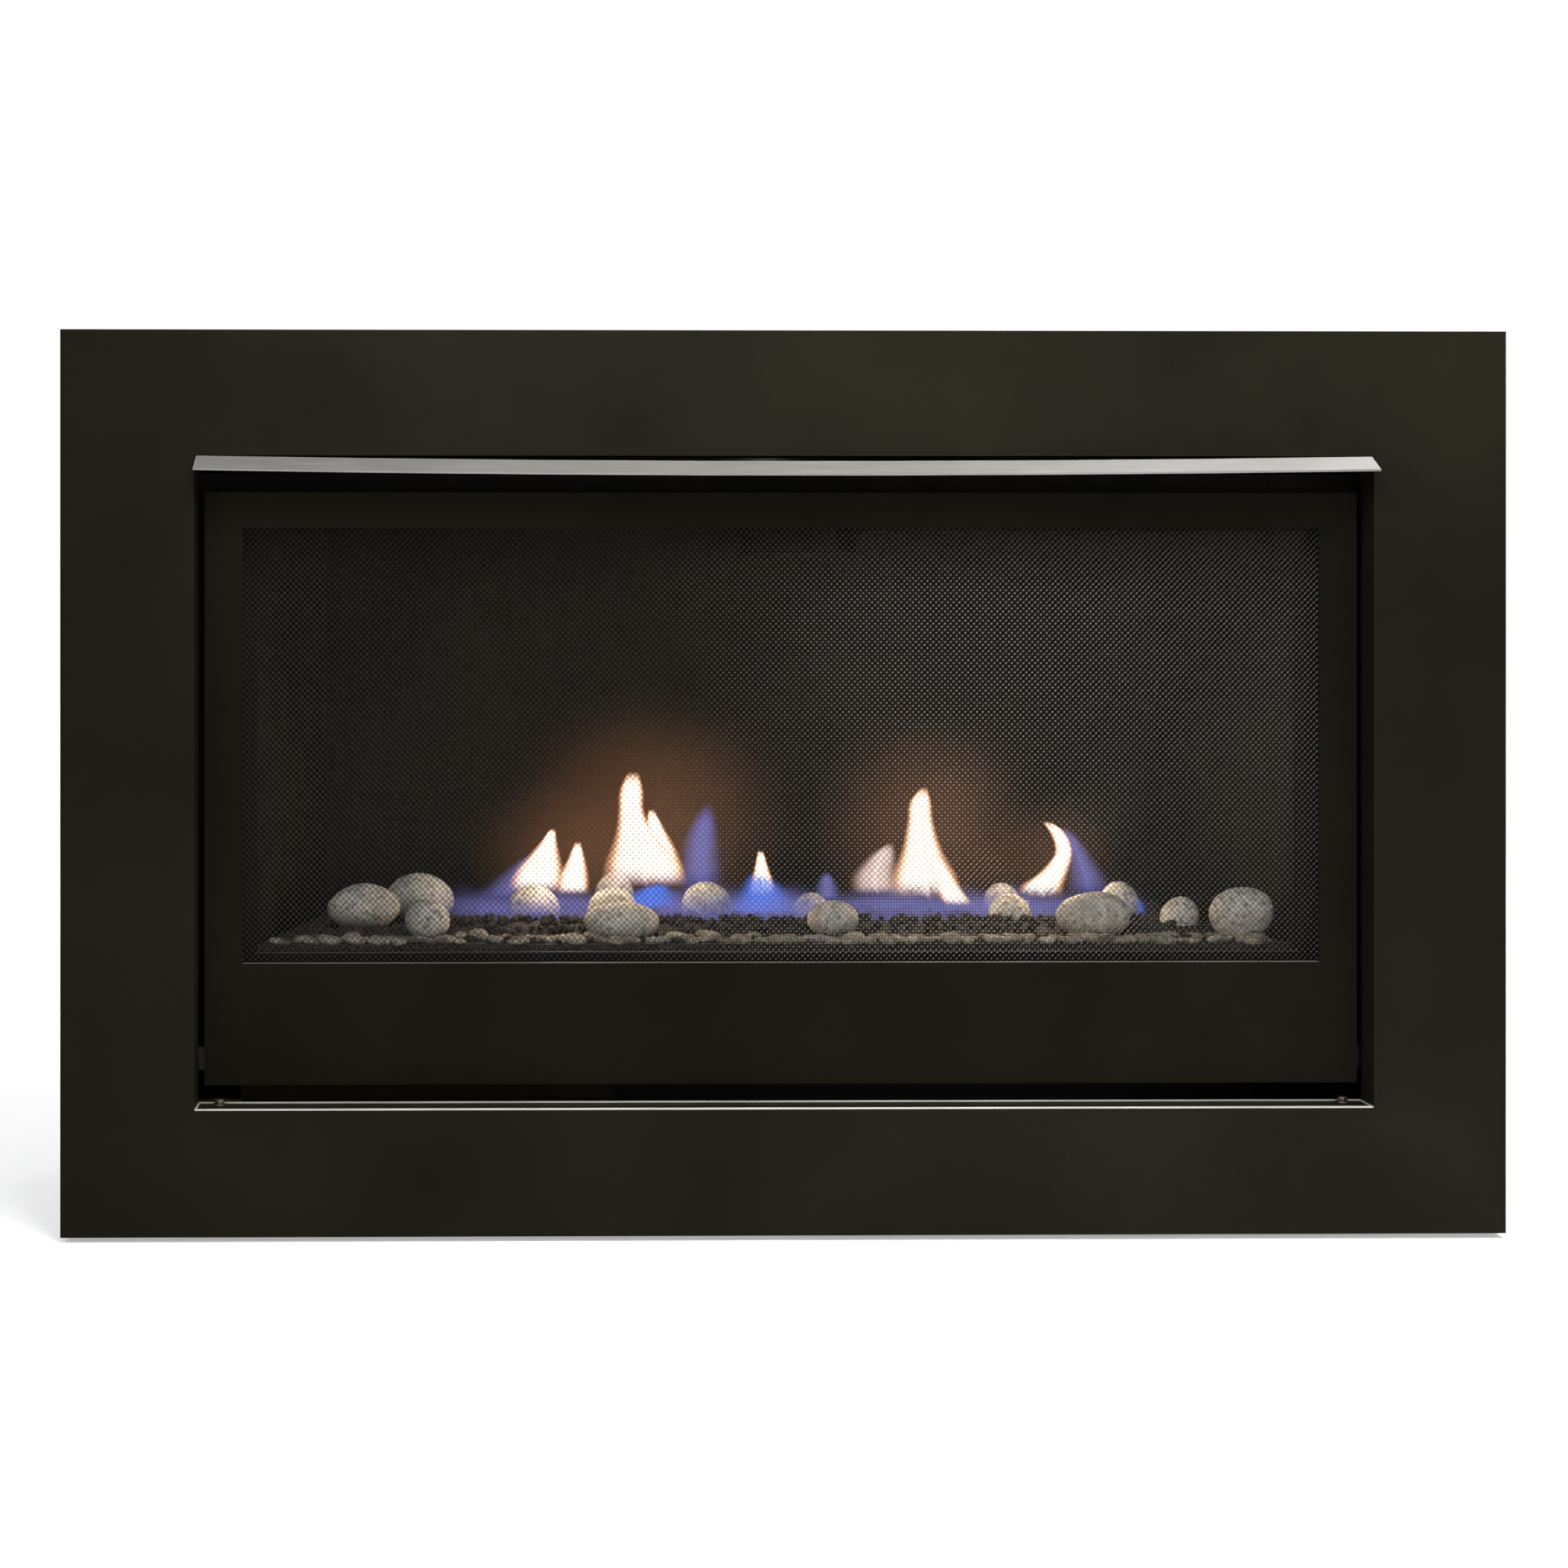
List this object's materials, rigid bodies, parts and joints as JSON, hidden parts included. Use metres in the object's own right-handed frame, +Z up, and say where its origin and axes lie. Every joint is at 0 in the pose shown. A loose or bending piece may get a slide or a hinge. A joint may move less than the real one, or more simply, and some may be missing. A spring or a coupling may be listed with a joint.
{
  "type": "direct vent gas fireplace",
  "caption": "Built-in direct vent gas fireplace: black surround, tilting mesh safety barrier, sealed glass firebox with pebbles over a burner, coaxial top vent and gas controls.",
  "frame": {"origin": "floor under the middle of the whole part", "axes": "+X to the right of someone facing it, +Y from the front to the back, +Z up"},
  "size_m": [1.126, 0.402, 0.727],
  "materials": {
    "black_powder_coat": "fine matt powder coat",
    "bright_hood": "satin",
    "mesh_black": "matt",
    "galvanised": "spangled zinc",
    "firebox_black": "high temperature matt",
    "glass": "clear ceramic",
    "rope_gasket": "woven glass fibre",
    "brass": "machined",
    "cast_alloy": "die cast",
    "tube_alloy": "drawn",
    "connector_steel": "corrugated",
    "black_plastic": "moulded",
    "red_plastic": "moulded",
    "lever_red": "dipped",
    "white_ceramic": "glazed",
    "pilot_steel": "heat tinted",
    "beach_stone": "tumbled",
    "gravel": "chipped",
    "ember_media": "granular",
    "hardware_zinc": "zinc plated"
  },
  "bodies": {
    "chassis": {"surround": "black_powder_coat", "hood_strip": "bright_hood", "surround_brackets": "galvanised", "casing_base": "galvanised", "casing_top": "galvanised", "casing_left_side": "galvanised", "casing_right_side": "galvanised", "casing_back": "galvanised", "levelling_feet": "hardware_zinc", "nailing_flange_left": "galvanised", "nailing_flange_right": "galvanised", "intake_collar": "galvanised", "exhaust_collar": "galvanised", "hanging_pins": "hardware_zinc", "magnet_catches": "black_plastic", "glass_frame": "firebox_black", "glass_pane": "glass", "glass_gasket": "rope_gasket", "glass_clips": "firebox_black", "latch_brackets": "hardware_zinc", "firebox_front": "firebox_black", "firebox_floor": "firebox_black", "firebox_roof": "firebox_black", "firebox_back_wall": "firebox_black", "firebox_left_wall": "firebox_black", "firebox_right_wall": "firebox_black", "exhaust_baffle": "firebox_black", "burner_tray": "firebox_black", "burner_tube": "pilot_steel", "burner_saddles": "firebox_black", "venturi_tube": "pilot_steel", "injector": "brass", "injector_holder": "brass", "main_gas_tube": "tube_alloy", "pilot_gas_tube": "tube_alloy", "pilot_bracket": "pilot_steel", "pilot_hood": "pilot_steel", "spark_electrode": "white_ceramic", "thermocouple": "pilot_steel", "ember_bed": "ember_media", "pebbles": "beach_stone", "gravel_chips": "gravel", "control_panel": "galvanised", "gas_valve": "cast_alloy", "igniter_body": "black_plastic", "switch_housing": "black_plastic", "shutoff_valve": "brass", "gas_connector": "connector_steel"},
    "barrier": {"barrier_frame": "black_powder_coat", "barrier_mesh": "mesh_black", "barrier_hooks": "hardware_zinc"},
    "latch_left": {"glass_latch_left": "hardware_zinc"},
    "latch_right": {"glass_latch_right": "hardware_zinc"},
    "stem": {"valve_stem": "hardware_zinc"},
    "main_knob": {"control_knob": "black_plastic"},
    "height_knob": {"flame_knob": "black_plastic"},
    "button": {"igniter_button": "red_plastic"},
    "rocker": {"switch_rocker": "black_plastic"},
    "shutter": {"air_shutter": "hardware_zinc"},
    "lever": {"shutoff_lever": "lever_red"}
  },
  "joints": [
    {"name": "barrier_tilt", "type": "hinge", "parent": "chassis", "child": "barrier", "pos_m": [0, -0.1375, 0.568], "axis": [-1, 0, 0], "range_deg": [0, 30]},
    {"name": "latch_left_swing", "type": "hinge", "parent": "chassis", "child": "latch_left", "pos_m": [-0.3, -0.126, 0.188], "axis": [1, 0, 0], "range_deg": [0, 45], "stiffness_Nm_per_rad": 0.4},
    {"name": "latch_right_swing", "type": "hinge", "parent": "chassis", "child": "latch_right", "pos_m": [0.3, -0.126, 0.188], "axis": [1, 0, 0], "range_deg": [0, 45], "stiffness_Nm_per_rad": 0.4},
    {"name": "stem_press", "type": "slide", "parent": "chassis", "child": "stem", "axis": [0, 1, 0], "range_m": [0, 0.004], "stiffness_N_per_m": 800},
    {"name": "control_knob_turn", "type": "hinge", "parent": "stem", "child": "main_knob", "pos_m": [-0.324, -0.12, 0.0715], "axis": [0, -1, 0], "range_deg": [0, 180]},
    {"name": "flame_knob_turn", "type": "hinge", "parent": "chassis", "child": "height_knob", "pos_m": [-0.276, -0.115, 0.0715], "axis": [0, -1, 0], "range_deg": [0, 90]},
    {"name": "igniter_press", "type": "slide", "parent": "chassis", "child": "button", "axis": [0, 1, 0], "range_m": [0, 0.006], "stiffness_N_per_m": 900},
    {"name": "rocker_rock", "type": "hinge", "parent": "chassis", "child": "rocker", "pos_m": [-0.172, -0.1075, 0.0715], "axis": [-1, 0, 0], "range_deg": [0, 14]},
    {"name": "air_shutter_turn", "type": "hinge", "parent": "chassis", "child": "shutter", "pos_m": [-0.235, 0.0105, 0.202], "axis": [1, 0, 0], "range_deg": [0, 90]},
    {"name": "shutoff_turn", "type": "hinge", "parent": "chassis", "child": "lever", "pos_m": [-0.43775, 0.021, 0.0955], "axis": [0, 0, -1], "range_deg": [0, 90]}
  ]
}
